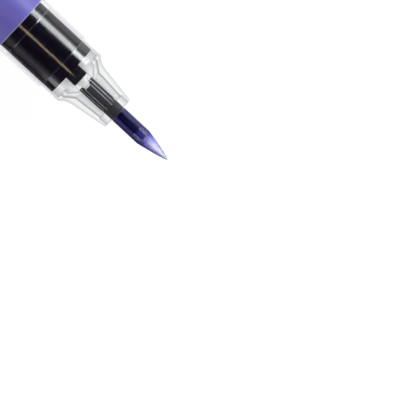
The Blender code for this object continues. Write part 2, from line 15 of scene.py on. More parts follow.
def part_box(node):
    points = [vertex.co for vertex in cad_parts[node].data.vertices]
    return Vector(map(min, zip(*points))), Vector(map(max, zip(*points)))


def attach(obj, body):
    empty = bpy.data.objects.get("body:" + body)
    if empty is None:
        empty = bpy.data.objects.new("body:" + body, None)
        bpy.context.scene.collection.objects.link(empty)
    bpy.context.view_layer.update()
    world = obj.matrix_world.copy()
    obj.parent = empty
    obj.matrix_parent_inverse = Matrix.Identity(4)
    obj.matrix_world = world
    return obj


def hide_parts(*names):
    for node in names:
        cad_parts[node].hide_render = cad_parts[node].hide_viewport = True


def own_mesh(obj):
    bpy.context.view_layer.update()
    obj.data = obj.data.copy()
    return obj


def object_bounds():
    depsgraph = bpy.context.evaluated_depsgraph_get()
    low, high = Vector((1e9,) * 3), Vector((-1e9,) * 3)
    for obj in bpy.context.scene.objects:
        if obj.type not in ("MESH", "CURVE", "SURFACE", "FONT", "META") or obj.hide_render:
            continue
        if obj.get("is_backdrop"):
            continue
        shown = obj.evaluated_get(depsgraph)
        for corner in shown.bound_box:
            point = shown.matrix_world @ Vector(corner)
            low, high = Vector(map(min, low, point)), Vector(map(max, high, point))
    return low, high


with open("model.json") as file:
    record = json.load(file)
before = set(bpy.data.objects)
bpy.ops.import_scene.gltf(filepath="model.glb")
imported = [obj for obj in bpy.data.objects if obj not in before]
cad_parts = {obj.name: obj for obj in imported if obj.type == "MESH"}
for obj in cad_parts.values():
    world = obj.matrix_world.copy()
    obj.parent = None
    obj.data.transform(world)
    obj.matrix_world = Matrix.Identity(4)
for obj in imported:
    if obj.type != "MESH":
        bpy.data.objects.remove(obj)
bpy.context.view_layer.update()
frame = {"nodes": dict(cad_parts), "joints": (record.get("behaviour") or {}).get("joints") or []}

mm = 0.001

# Facets and corners
CAD_FACETS = 32                  # of the CAD's body pieces
CAD_SMALL_FACETS = 24            # of its valve and brush pieces
ROUND = 128                      # of the pieces made here
SHARP_ANGLE = math.radians(38)
STRAIGHT_ANGLE = math.radians(0.2)  # bends in an outline below this are left out
SAME_POINT = 0.001 * mm
CORNER_STEPS = 4
CORNER_SHARE = 0.45              # of a side's length that a rounded corner may take up
INWARD = -0.5                    # walls count as facing the axis below this

# Marker's axis and the stations that the pieces share
AXIS_Z = sum(corner.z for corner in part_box("barrel")) / 2
TIP_X, BRUSH_RADIUS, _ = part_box("brush_bristles")[1]
HOLDER_TAIL_X, HOLDER_FRONT_X = (corner.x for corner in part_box("brush_holder"))
BARREL_FRONT_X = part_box("barrel")[1].x

# Paint
WETTING_GAP = 0.02 * mm          # between the paint and the walls that it wets
PAINT_SKIN = 0.05 * mm
BORE_SKIN = 0.14 * mm

# Flutes of the brush holder, to both sides of its top and its underside
HOLDER_TURN = math.radians(-6)   # of the holder's top from straight up
HOLDER_ROUND = 96                # facets, beside those that the flutes add
FLUTE_WIDTH = 0.24 * mm
FLUTE_DEPTH = 0.16 * mm
FLUTE_EDGE = 0.62                # edge from the flute's middle, and wall, as shares of its width
FLUTE_WALL = 0.24
FLUTE_WALL_STEPS = 3
FLUTE_RUN_OUT = 0.4 * mm
FLUTE_RUN_OUT_STEPS = 8
FLUTED_SKIN = 0.12 * mm          # outer skin of the holder that the flutes are pressed into
FLUTES = (                       # angle from the top, end behind the front, share of painted glint, set for how the flute faces the lamps
    (math.radians(27), 1.98 * mm, 0.72),
    (math.radians(51), 2.56 * mm, 1.0),
)

# Mouth cut into the holder's tail on top and below, for the plunger's nose
TAIL_NOTCH = 0.86 * mm
TAIL_NOTCH_ANGLES = (math.radians(19), math.radians(63))  # where it is deepest and where it ends
NOTCH_GAP = 0.04 * mm
NOSE_LENGTH = 1.14 * mm          # of the plunger's nose behind the holder's tail
NOSE_STEP = 0.06 * mm            # between its rings

# Clear mouldings
GRAZING_POWER = 5.0              # of the shine's rise from face on to edge on
CUT_EDGE = 0.12 * mm             # reach of a frosted cut edge to both sides of its station
RIM_SETBACK = 0.6 * mm           # end of the nozzle's polished rim behind the plate's front

# Valve spring, between the cage's floor and the plunger's head
SPRING_SPACE = 6.0 * mm
SPRING_SEAT = 0.25 * mm          # middle of its end coils from the floor and the head
SPRING_RADIUS = 1.75 * mm
SPRING_WIRE_RADIUS = 0.20 * mm
SPRING_TURNS = 6
SPRING_STEPS = 32                # along each turn
WIRE_SIDES = 12

# Brush
STRANDS = 110                    # that show on the bundle
STRAND_LAYER = 0.80              # inner side of their layer, as a share of the bundle's area
STRAND_SIDES = 5
STRAND_STEPS = 6                 # along the point
STRAND_RADIUS = 0.032 * mm
STRAND_TIP_RADIUS = 0.010 * mm
STRAND_STAGGER = 0.15            # share of the point over which strands end
STRAND_SEED = 5
SOAKED_LENGTH = 4.78 * mm        # paint-soaked fibres in front of the holder
SOAKED_CORNER = 0.12 * mm
COLUMN_SETBACK = 0.04 * mm       # front of the dark column behind the looser fibres' front
COLUMN_RADIUS = 0.66 * mm
LOOSE_LAYERS = (                 # radius and see-through level of the looser fibres round it
    (0.90 * mm, 0.62),
    (1.20 * mm, 0.78),
)
POINT_LENGTH = 6.48 * mm
POINT_FULLNESS = 0.8             # power of the point's taper
POINT_STEPS = 24                 # rings of the brush's skins along the point
POINT_CROWDING = 1.5             # power that crowds them towards the tip
PALE_SHARE = 0.60                # of the brush's length, where its point turns pale
FLARE_LENGTH = 0.15 * mm
BUNDLE_GAP = 0.045 * mm          # between the bundle's body and its outermost strands' outsides
SOCKET_DEPTH = 1.0 * mm
SOCKET_WALL = 0.30 * mm
WET_FILM = 0.06 * mm

# Camera, from the photograph
IMAGE_TURN = math.radians(42.8)  # marker's axis below the picture's horizontal
AXIS_TILT = math.radians(6.2)    # brush end away from the camera
CAMERA_DISTANCE = 0.586
CAMERA_LENS = 260.0              # millimetres, on a 36 mm sensor
CAMERA_CLIP = 0.01
TARGET_AHEAD = 12.24 * mm        # picture's centre in front of the brush tip
TARGET_ASIDE = -1.544 * mm
CLEAR_LAYERS = 48                # clear walls that a ray may pass

# Lamps, with angles from straight up towards +Y
KEY_ANGLE = math.radians(61.5)
KEY_DISTANCE = 0.45
KEY_SIZE = (1.0, 0.25)
KEY_AIM = 30 * mm                # behind the brush tip
KEY_POWER = 6.2
KEY_COLOUR = (0.95, 0.985, 1.0)
LINE_ANGLE = math.radians(-7)    # thin warm strip close to the camera
LINE_DISTANCE = 0.30
LINE_SIZE = (0.30, 0.040)
LINE_END = 11.7 * mm             # behind the brush tip
LINE_POWER = 0.108
LINE_COLOUR = (1.0, 0.82, 0.52)
SHEEN_ANGLE = math.radians(-79)  # low strip beside the nozzle's collar, for reflections alone
SHEEN_DISTANCE = 60 * mm
SHEEN_SIZE = (14 * mm, 34 * mm)
SHEEN_AHEAD = 8.9 * mm           # its middle in front of the barrel's front end
SHEEN_POWER = 0.0022
FEATHER = (0.1, 0.5)             # of a lamp's width from its middle, where it fades and ends
SOFT_SIZE = (0.8, 0.8)
SOFT_DISTANCE = 0.9
TOP_POWER = 1.4
FILL_ANGLE = math.radians(-68)
FILL_POWER = 6.2

# Studio
KEY_SIDE_WALL = 0.80             # pale walls, on the key's side and opposite
FILL_SIDE_WALL = 0.45
WALL_TURN = (-0.5, 0.5)          # directions between which one wall turns into the other
WALL_TOP = (0.28, 0.58)          # heights between which the walls turn into the ceiling
STUDIO_COLOUR = (1.0, 0.98, 0.95, 1.0)
CEILING_LIGHT = 0.02
SKIRTING = (0.08, 0.05)          # middle and half height of a darker skirting round the walls
SKIRTING_SHADE = 0.45
FLOOR_GLOW = 0.95
FLOOR_SHADE = 0.08               # share of the floor's white that the lamps light and shadows dim
FLOOR_TONE = 0.8                 # of the floor as it lights the marker
FLOOR_SIZE = 8.0
CARD_SIZE = (0.60, 0.60)         # dark card beside the marker, for its reflection alone
CARD_GAP = 17 * mm
CARD_LIFT = 0.1 * mm

WHITE = (1.0, 1.0, 1.0, 1.0)


def srgb(red, green, blue):
    """Linear colour from 8-bit sRGB values."""
    def linear(value):
        value /= 255
        return value / 12.92 if value <= 0.04045 else ((value + 0.055) / 1.055) ** 2.4
    return (linear(red), linear(green), linear(blue), 1.0)


def neutral(level):
    """Linear grey."""
    return (level, level, level, 1.0)


def eased(share):
    """Share of 0 to 1 with soft ends."""
    return share * share * (3 - 2 * share)


# Outlines and meshes

def half_section(node, facets=CAD_FACETS):
    """Outline of a turned CAD node as (station, radius) points in order.

    The upright plane through the axis cuts the mesh, and the upper half of the cut is followed
    from point to point. It runs through the middle of a facet, so radii are scaled to the facets'
    corners. A ring's outline is a loop, and a solid's starts and ends on the axis.
    """
    mesh = bmesh.new()
    mesh.from_mesh(frame["nodes"][node].data)
    bmesh.ops.remove_doubles(mesh, verts=mesh.verts, dist=SAME_POINT)
    bmesh.ops.bisect_plane(mesh, geom=[*mesh.verts, *mesh.edges, *mesh.faces], plane_co=(0, 0, 0),
                           plane_no=(0, 1, 0), clear_inner=True, clear_outer=True)
    bmesh.ops.bisect_plane(mesh, geom=[*mesh.verts, *mesh.edges], plane_co=(0, 0, AXIS_Z),
                           plane_no=(0, 0, 1), clear_inner=True)
    bmesh.ops.dissolve_limit(mesh, angle_limit=STRAIGHT_ANGLE, verts=mesh.verts, edges=mesh.edges)
    ends = [vert for vert in mesh.verts if len(vert.link_edges) == 1]
    path = [min(ends or mesh.verts, key=lambda vert: tuple(vert.co))]
    seen = set(path)
    while True:
        near = [edge.other_vert(path[-1]) for edge in path[-1].link_edges]
        fresh = [vert for vert in near if vert not in seen]
        if not fresh:
            break
        path.append(fresh[0])
        seen.add(fresh[0])
    scale = 1 / math.cos(math.pi / facets)
    outline = [(vert.co.x, max(0.0, vert.co.z - AXIS_Z) * scale) for vert in path]
    mesh.free()
    return [(x, radius if radius > SAME_POINT else 0.0) for x, radius in outline]


def soften(outline, cut):
    """Round each corner off the axis with a short curve that starts the given way before it."""
    softened = []
    for index, corner in enumerate(outline):
        if corner[1] == 0.0:
            softened.append(corner)
            continue
        here = Vector(corner)
        to_last = Vector(outline[index - 1]) - here
        to_next = Vector(outline[(index + 1) % len(outline)]) - here
        reach = min(cut, CORNER_SHARE * to_last.length, CORNER_SHARE * to_next.length)
        start = here + to_last.normalized() * reach
        end = here + to_next.normalized() * reach
        for step in range(CORNER_STEPS + 1):
            share = step / CORNER_STEPS
            point = start * (1 - share) ** 2 + here * 2 * share * (1 - share) + end * share ** 2
            softened.append((point.x, point.y))
    return softened


def divided(outline, stations):
    """Outline with extra points off the axis where it crosses the given stations."""
    points = []
    for (x0, r0), (x1, r1) in zip(outline, outline[1:] + outline[:1]):
        points.append((x0, r0))
        if r0 or r1:
            crossed = {x for x in stations if min(x0, x1) < x < max(x0, x1)}
            points += [(x, r0 + (r1 - r0) * (x - x0) / (x1 - x0))
                       for x in sorted(crossed, reverse=x1 < x0)]
    return points


def outward(turn):
    """Unit vector away from the axis at an angle from straight up."""
    return Vector((0, math.sin(turn), math.cos(turn)))


def even_turns(count):
    """Angles from straight up, evenly round the axis."""
    return [math.tau * index / count for index in range(count)]


def turned_mesh(outline, turns):
    """Bmesh of an outline of (station, radius) points turned about the axis through angles."""
    mesh = bmesh.new()
    rings = []
    for x, radius in outline:
        ring = turns if radius > 0.0 else turns[:1]
        rings.append([mesh.verts.new(Vector((x, 0, AXIS_Z)) + radius * outward(turn))
                      for turn in ring])
    pairs = list(zip(rings, rings[1:]))
    if outline[0][1] > 0.0:
        pairs.append((rings[-1], rings[0]))
    for near, far in pairs:
        for index in range(len(turns)):
            corners = [near[index % len(near)], near[(index + 1) % len(near)],
                       far[(index + 1) % len(far)], far[index % len(far)]]
            mesh.faces.new(list(dict.fromkeys(corners)))
    return mesh


def add_tube(mesh, rings):
    """Add a tube through rings of points to a bmesh, closed at both ends."""
    rings = [[mesh.verts.new(point) for point in ring] for ring in rings]
    mesh.faces.new(rings[0])
    for near, far in zip(rings, rings[1:]):
        for side in range(len(near)):
            following = (side + 1) % len(near)
            mesh.faces.new((near[side], near[following], far[following], far[side]))
    mesh.faces.new(rings[-1])


def finished(name, mesh, materials):
    """Object made from a bmesh, with outward faces and smooth shading up to the sharp angle."""
    bmesh.ops.recalc_face_normals(mesh, faces=mesh.faces)
    data = bpy.data.meshes.new(name)
    mesh.to_mesh(data)
    mesh.free()
    for material in materials:
        data.materials.append(material)
    data.shade_smooth()
    data.set_sharp_from_angle(angle=SHARP_ANGLE)
    piece = bpy.data.objects.new(name, data)
    bpy.context.scene.collection.objects.link(piece)
    return piece


def turned(name, outline, materials):
    """Piece turned from an outline. A second material goes on the walls that face the axis."""
    piece = finished(name, turned_mesh(outline, even_turns(ROUND)), materials)
    piece.modifiers.new("Even normals", 'WEIGHTED_NORMAL').keep_sharp = True
    if len(materials) > 1:
        for face in piece.data.polygons:
            away = Vector((0, face.center.y, face.center.z - AXIS_Z)).normalized()
            face.material_index = int(face.normal.dot(away) < INWARD)
    return piece


def show(piece, body, slot, *nodes):
    """Put a piece on its body, and hide the nodes that it stands for. The slot is not used."""
    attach(piece, body)
    if nodes:
        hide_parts(*nodes)


# Shader nodes

def new_material(name):
    """New material, its empty node tree and its output's surface socket."""
    material = bpy.data.materials.new(name)
    material.use_nodes = True
    tree = material.node_tree
    tree.nodes.clear()
    return material, tree, tree.nodes.new("ShaderNodeOutputMaterial").inputs["Surface"]


def add(tree, kind, inputs=None, **settings):
    """New node with its settings, and its inputs set to values or linked to sockets."""
    item = tree.nodes.new(kind)
    for name, value in settings.items():
        setattr(item, name, value)
    for name, value in (inputs or {}).items():
        if isinstance(value, bpy.types.NodeSocket):
            tree.links.new(value, item.inputs[name])
        else:
            item.inputs[name].default_value = value
    return item


def shader(tree, kind, inputs):
    """Output of a surface shader."""
    return add(tree, "ShaderNodeBsdf" + kind, inputs).outputs["BSDF"]


def mix_shaders(tree, share, first, second):
    """Mix of two shaders with the given share of the second."""
    return add(tree, "ShaderNodeMixShader", {0: share, 1: first, 2: second}).outputs["Shader"]


def compute(tree, operation, *values):
    """Math node's output."""
    item = add(tree, "ShaderNodeMath", dict(enumerate(values)), operation=operation)
    return item.outputs["Value"]


def remap(tree, value, low, high, from_low=0.0, from_high=1.0, **settings):
    """Map Range's clamped output."""
    return add(tree, "ShaderNodeMapRange", {
        "Value": value, "From Min": from_low, "From Max": from_high,
        "To Min": low, "To Max": high}, **settings).outputs["Result"]


def ramp(tree, factor, stops):
    """Colour ramp's output for (position, colour) stops."""
    item = add(tree, "ShaderNodeValToRGB", {"Fac": factor})
    elements = item.color_ramp.elements
    while len(elements) < len(stops):
        elements.new(1.0)
    for element, (position, colour) in zip(elements, stops):
        element.position = position
        element.color = colour
    return item.outputs["Color"]


def tones(tree, pattern, dark, light, margin=0.3):
    """Colour that goes from dark to light between a pattern's margins."""
    return ramp(tree, pattern, [(margin, dark), (1 - margin, light)])


def blend_colours(tree, factor, first, second):
    """Mix of two colours."""
    return add(tree, "ShaderNodeMix", {0: factor, 6: first, 7: second}, data_type='RGBA').outputs[2]


def noise(tree, size, detail=3.0, along=1.0):
    """Noise of about the given size in the piece's own coordinates, drawn out along the marker."""
    place = add(tree, "ShaderNodeTexCoord").outputs["Object"]
    scaled = add(tree, "ShaderNodeMapping", {"Vector": place, "Scale": (along, 1.0, 1.0)})
    return add(tree, "ShaderNodeTexNoise", {
        "Vector": scaled.outputs["Vector"], "Scale": 1 / size, "Detail": detail}).outputs["Fac"]


def bump(tree, height, depth, strength):
    """Bump's normal for a height of 0 to 1 over the given depth."""
    return add(tree, "ShaderNodeBump", {
        "Height": height, "Strength": strength, "Distance": depth}).outputs["Normal"]


def split(tree, vector):
    """X, Y and Z outputs of a vector."""
    return add(tree, "ShaderNodeSeparateXYZ", {"Vector": vector}).outputs


def station(tree):
    """Station along the marker's axis, in metres."""
    return split(tree, add(tree, "ShaderNodeTexCoord").outputs["Object"])["X"]


def by_side(tree, outer, inner):
    """One value on a wall's outer side and another on its inner side."""
    return remap(tree, add(tree, "ShaderNodeNewGeometry").outputs["Backfacing"], outer, inner)


def principled(name, inputs, add_nodes):
    """Principled material with plain inputs, and those that add_nodes makes in its tree."""
    material, tree, surface = new_material(name)
    tree.links.new(shader(tree, "Principled", {**inputs, **add_nodes(tree)}), surface)
    return material


# Stations and radii of the valve plate, from its outline

PLATE = half_section("valve_plate")
PLATE_RADIUS = max(radius for _, radius in PLATE)
PLATE_BACK_X = min(x for x, radius in PLATE if radius > PLATE_RADIUS - SAME_POINT)
PLATE_FRONT_X = max(x for x, radius in PLATE if radius > PLATE_RADIUS - SAME_POINT)
BORE_RADIUS = min(radius for _, radius in PLATE)
GUIDE_FLOOR_X = max(x for x, radius in PLATE if radius < BORE_RADIUS + SAME_POINT)
GUIDE_FRONT_X = max(x for x, _ in PLATE)


# Materials

def clear_plastic(name, shine, rim_shine, roughness, tints):
    """Polished clear plastic with a mirror-like skin.

    Its tints are (facing, level) stops, from face on at 0 to edge on at 1, for the soft grey
    bands that the bent light makes along the walls.
    """
    material, tree, surface = new_material(name)
    facing = add(tree, "ShaderNodeLayerWeight", {"Blend": 0.5}).outputs["Facing"]
    haze = noise(tree, 1.6 * mm, 4.0, along=0.25)
    clear = shader(tree, "Transparent", {"Color": ramp(tree, facing, [
        (place, (level, level + 0.002, level + 0.005, 1.0)) for place, level in tints])})
    gloss = shader(tree, "Glossy", {
        "Color": WHITE, "Roughness": remap(tree, haze, roughness - 0.02, roughness + 0.02)})
    grazing = compute(tree, 'POWER', facing, GRAZING_POWER)
    skin = remap(tree, grazing, shine, rim_shine)
    share = compute(tree, 'MULTIPLY', skin, by_side(tree, 1.0, 0.0))
    tree.links.new(mix_shaders(tree, share, clear, gloss), surface)
    return material


def frosted_material(name, shine):
    """Cut edge of clear plastic, frosted enough to show as a fine pale line that glints."""
    material, tree, surface = new_material(name)
    frost = noise(tree, 0.05 * mm)
    pale = shader(tree, "Diffuse", {
        "Color": tones(tree, frost, srgb(226, 228, 230), srgb(244, 245, 246))})
    clear = shader(tree, "Transparent", {"Color": neutral(0.95)})
    gloss = shader(tree, "Glossy", {"Color": WHITE, "Roughness": remap(tree, frost, 0.08, 0.15)})
    haze = mix_shaders(tree, remap(tree, frost, 0.0, 0.01), clear, pale)
    tree.links.new(mix_shaders(tree, shine, haze, gloss), surface)
    return material


def paint_material(name, dark, light):
    """Violet-black paint with slow swirls of pigment."""
    def nodes(tree):
        swirl = noise(tree, 3.0 * mm, 5.0, along=0.3)
        return {
            "Base Color": tones(tree, swirl, dark, light, margin=0.35),
            "Roughness": remap(tree, swirl, 0.25, 0.4),
        }
    return principled(name, {"Specular IOR Level": 0.05}, nodes)


def film_material():
    """Violet printed film, satin, with a pale band at its front cut edge that is a painted
    highlight.
    """
    edge_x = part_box("label_sleeve")[1].x

    def nodes(tree):
        grain = noise(tree, 0.35 * mm, 4.0, along=0.12)
        cloud = noise(tree, 9.0 * mm, 2.0)
        ink = tones(tree, cloud, srgb(89, 83, 164), srgb(93, 87, 169))
        # pale band along the front edge: painted highlight
        edge_highlight = remap(tree, station(tree), 0.0, 1.0, edge_x - 0.16 * mm, edge_x - 0.10 * mm)
        return {
            "Base Color": blend_colours(tree, edge_highlight, ink, srgb(152, 150, 222)),
            "Roughness": remap(tree, grain, 0.36, 0.47),
            "Normal": bump(tree, grain, 0.004 * mm, 0.5),
        }
    return principled("violet_printed_film", {"Specular IOR Level": 0.4}, nodes)


def moulded_material(name, dark, light, roughness, grain_size=0.18 * mm):
    """Moulded plastic or rubber: slight flow clouds, and fine grain in its gloss and skin."""
    def nodes(tree):
        cloud = noise(tree, 6.0 * mm, along=0.3)
        grain = noise(tree, grain_size)
        return {
            "Base Color": tones(tree, cloud, dark, light),
            "Roughness": remap(tree, grain, roughness - 0.06, roughness + 0.08),
            "Normal": bump(tree, grain, 0.006 * mm, 0.4),
        }
    return principled(name, {}, nodes)


def holder_material():
    """Dark moulding, painted paler in its flutes as a painted glint of the light that they catch.
    """
    def nodes(tree):
        flute_glint = add(tree, "ShaderNodeAttribute", attribute_name="flute_glint").outputs["Fac"]
        cloud = noise(tree, 1.2 * mm, along=0.2)
        body = tones(tree, cloud, srgb(40, 36, 44), srgb(50, 46, 55))
        painted_glint = remap(tree, flute_glint, 0.0, 1.0, 0.35, 1.0)
        return {
            # pale colour in the flutes: painted glint
            "Base Color": blend_colours(tree, painted_glint, body, srgb(220, 221, 232)),
            "Roughness": remap(tree, cloud, 0.64, 0.76),
        }
    return principled("dark_fluted_moulding", {"Specular IOR Level": 0.6}, nodes)


def fibre_material(name, see_through, lighter, covers):
    """Filaments that let light through: lilac round the soaked column and pale at the point.

    Light passes tinted by see_through beside the soaked fibres and by lighter at the point's base.
    The covers are the fibres' own share of the look at the holder, there and where they turn pale.
    """
    length = TIP_X - HOLDER_FRONT_X
    soaked = SOAKED_LENGTH / length
    point = 1 - POINT_LENGTH / length
    material, tree, surface = new_material(name)
    wander = remap(tree, noise(tree, 0.4 * mm, 2.0), -0.01, 0.01)
    along = remap(tree, station(tree), 0.0, 1.0, HOLDER_FRONT_X, TIP_X)
    share = compute(tree, 'ADD', along, wander)
    streak = noise(tree, 0.10 * mm, 2.0, along=0.05)
    colour = ramp(tree, share, [
        (0.0, srgb(70, 70, 114)), (soaked, srgb(92, 92, 150)), (point, srgb(140, 138, 200)),
        (PALE_SHARE, srgb(172, 171, 226)), (0.73, srgb(238, 238, 255)),
        (0.85, srgb(250, 250, 255))])
    streaked = blend_colours(tree, remap(tree, streak, 0.0, 0.12), colour, srgb(104, 100, 206))
    fibres = shader(tree, "Principled", {
        "Base Color": streaked, "Roughness": remap(tree, streak, 0.4, 0.6),
        "Specular IOR Level": 0.0})
    clear = shader(tree, "Transparent", {"Color": ramp(tree, share, [
        (soaked - 0.02, see_through), (point, lighter), (PALE_SHARE, (0.99, 0.99, 0.998, 1.0))])})
    cover = ramp(tree, share, [
        (place, neutral(level)) for place, level in zip((0.0, soaked, point, PALE_SHARE), covers)])
    tree.links.new(mix_shaders(tree, cover, clear, fibres), surface)
    return material


def soaked_material(name, dark, light):
    """Dense fibres soaked with paint, running along the axis."""
    def nodes(tree):
        fibres = noise(tree, 0.15 * mm, 2.0, along=0.04)
        return {
            "Base Color": tones(tree, fibres, dark, light),
            "Roughness": remap(tree, fibres, 0.5, 0.7),
            "Normal": bump(tree, fibres, 0.01 * mm, 0.3),
        }
    return principled(name, {"Specular IOR Level": 0.1}, nodes)


def loose_fibre_material(name, level):
    """Loose fibres soaked with paint that let the given share of light through, violet most."""
    def violet_grey(shade):
        return (shade, shade - 0.01, shade + 0.08, 1.0)

    material, tree, surface = new_material(name)
    fibres = noise(tree, 0.2 * mm, 2.0, along=0.04)
    tint = tones(tree, fibres, violet_grey(level), violet_grey(level + 0.03))
    tree.links.new(shader(tree, "Transparent", {"Color": tint}), surface)
    return material


def film_of_paint():
    """Thin film of paint over the wet brush, clear on top and tinted violet towards its ±Y sides;
    the +Y side, towards the key lamp, is tinted lighter as painted light.
    """
    material, tree, surface = new_material("film_of_paint")
    ripple = noise(tree, 0.3 * mm, along=0.15)
    normal = split(tree, add(tree, "ShaderNodeTexCoord").outputs["Normal"])
    side = compute(tree, 'MULTIPLY', normal["Y"], by_side(tree, 1.0, -1.0))
    # the shift makes the +Y side, towards the key lamp, lighter: painted light
    offset = compute(tree, 'SUBTRACT', side, remap(tree, ripple, 0.12, 0.18))
    tint = ramp(tree, compute(tree, 'ABSOLUTE', offset), [
        (0.10, (0.99, 0.99, 1.0, 1.0)), (0.28, (0.93, 0.925, 0.98, 1.0)),
        (0.48, (0.79, 0.78, 0.95, 1.0)), (0.66, (0.61, 0.60, 0.85, 1.0)),
        (0.82, (0.54, 0.53, 0.76, 1.0)), (1.0, (0.30, 0.29, 0.46, 1.0))])
    tree.links.new(shader(tree, "Transparent", {"Color": tint}), surface)
    return material


def steel_material():
    """Drawn and polished steel with fine lines."""
    def nodes(tree):
        lines = noise(tree, 0.1 * mm, along=0.1)
        return {
            "Base Color": tones(tree, lines, srgb(180, 181, 184), srgb(205, 206, 209)),
            "Roughness": remap(tree, lines, 0.15, 0.30),
        }
    return principled("bright_steel", {"Metallic": 1.0}, nodes)


# Pieces

def turn_again(node, body, slot, materials, cut, facets=CAD_FACETS):
    """Replace a turned CAD node by a finer one with softened corners."""
    piece = turned(node + "_finish", soften(half_section(node, facets), cut), materials)
    show(piece, body, slot, node)
    return piece


def mark_edge(piece, x, index):
    """Put a material on the faces of a cut edge at a station."""
    for face in piece.data.polygons:
        if abs(face.center.x - x) < CUT_EDGE:
            face.material_index = index


def make_barrel(materials):
    """Barrel with the frosted rim of its front end in the third material."""
    piece = turn_again("barrel", "barrel_unit", "clear_plastic", materials, cut=0.03 * mm)
    mark_edge(piece, BARREL_FRONT_X, 2)


def make_plate(materials):
    """Valve plate, with the cone of its guide in the second material."""
    outline = divided(soften(half_section("valve_plate"), cut=0.08 * mm), [GUIDE_FLOOR_X])
    piece = turned("valve_plate_finish", outline, materials)
    for face in piece.data.polygons:
        face.material_index = int(face.center.x > GUIDE_FLOOR_X)
    show(piece, "barrel_unit", "clear_plastic", "valve_plate")


def make_nozzle(clear):
    """Nozzle whose walls differ along it.

    The zones give each wall's material up to a station: bonded where the barrel, the plate or the
    bush touches the wall, and clear between them.
    """
    rear_x, front_x = (corner.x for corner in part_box("nozzle"))
    bush_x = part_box("mouth_bush")[0].x
    outside = ((BARREL_FRONT_X, "bonded"), (PLATE_BACK_X, "collar"),
               (PLATE_FRONT_X - RIM_SETBACK, "rim"), (front_x, "cone"))
    inside = ((PLATE_FRONT_X, "bonded"), (GUIDE_FRONT_X, "shoulder"),
              (bush_x, "inside"), (front_x, "bonded"))
    outline = divided(soften(half_section("nozzle"), cut=0.10 * mm),
                      [end_x for end_x, _ in outside + inside])
    names = list(clear)
    piece = turned("nozzle_finish", outline, list(clear.values()))
    for face in piece.data.polygons:
        zones = inside if face.material_index else outside
        zone = next(name for end_x, name in zones if face.center.x < end_x + SAME_POINT)
        face.material_index = names.index(zone)
    mark_edge(piece, rear_x, names.index("frosted"))
    show(piece, "barrel_unit", "clear_plastic", "nozzle")


def make_paint(thick, thin):
    """Paint as the skin that shows through the clear walls, closed behind the valve plate."""
    outer = PLATE_RADIUS + WETTING_GAP
    inner = outer - PAINT_SKIN
    ring = max(radius for x, radius in PLATE if x < PLATE_BACK_X - SAME_POINT) + WETTING_GAP
    rear_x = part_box("tail_plug")[1].x + WETTING_GAP
    front_x = PLATE_BACK_X - WETTING_GAP
    skin_x = front_x - PAINT_SKIN
    fill = turned("paint_fill", [(rear_x, outer), (front_x, outer), (front_x, ring), (skin_x, ring),
                                 (skin_x, inner), (rear_x, inner)], [thick])
    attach(fill, "barrel_unit")

    outer = BORE_RADIUS - WETTING_GAP
    inner = BORE_RADIUS - BORE_SKIN
    bore = turned("paint_in_valve_bore", [(PLATE_BACK_X, outer), (GUIDE_FLOOR_X, outer),
                                          (GUIDE_FLOOR_X, inner), (PLATE_BACK_X, inner)], [thin])
    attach(bore, "barrel_unit")


def from_holder_top(turn):
    """Angle to the nearer of the holder's top and underside, for an angle from straight up."""
    return abs((turn - HOLDER_TURN + math.pi / 2) % math.pi - math.pi / 2)


def flute_share(turn, x, radius):
    """Shares of the flutes' depth and of their painted glint at an angle from straight up and a
    station.
    """
    depth = glint_share = 0.0
    for angle, end, painted_glint in FLUTES:
        across = abs(from_holder_top(turn) - angle) * radius / FLUTE_WIDTH
        along = (HOLDER_FRONT_X - end - x) / FLUTE_RUN_OUT
        if along > 0.0 and across < FLUTE_EDGE:
            wall = min(1.0, (FLUTE_EDGE - across) / FLUTE_WALL)
            depth = eased(wall) * math.sqrt(1 - (1 - min(along, 1.0)) ** 2)
            glint_share = depth * painted_glint
    return depth, glint_share


def notch_share(turn):
    """Share of the tail notch's depth at an angle from straight up."""
    deepest, end = TAIL_NOTCH_ANGLES
    return eased(min(1.0, max(0.0, (end - from_holder_top(turn)) / (end - deepest))))


def make_plunger(material):
    """Plunger whose nose rises to a tongue in each notch of the holder's tail."""
    outline = soften(half_section("valve_plunger", CAD_SMALL_FACETS), cut=0.08 * mm)
    tip_x = max(x for x, _ in outline)
    nose_x = HOLDER_TAIL_X - NOSE_LENGTH
    nose_radius = max(radius for x, radius in outline if x > nose_x)
    fine = [nose_x + NOSE_STEP * step for step in range(int((tip_x - nose_x) / NOSE_STEP))]
    mesh = turned_mesh(divided(outline, fine), even_turns(ROUND))
    for vert in mesh.verts:
        away = Vector((0, vert.co.y, vert.co.z - AXIS_Z))
        share = notch_share(math.atan2(away.y, away.z))
        notch_end = HOLDER_TAIL_X + TAIL_NOTCH * share - NOTCH_GAP
        if nose_x < vert.co.x < notch_end and away.length > 0.0:
            vert.co += away.normalized() * share * max(0.0, nose_radius - away.length)
    piece = finished("valve_plunger_finish", mesh, [material])
    show(piece, "valve_unit", "white_plastic", "valve_plunger")


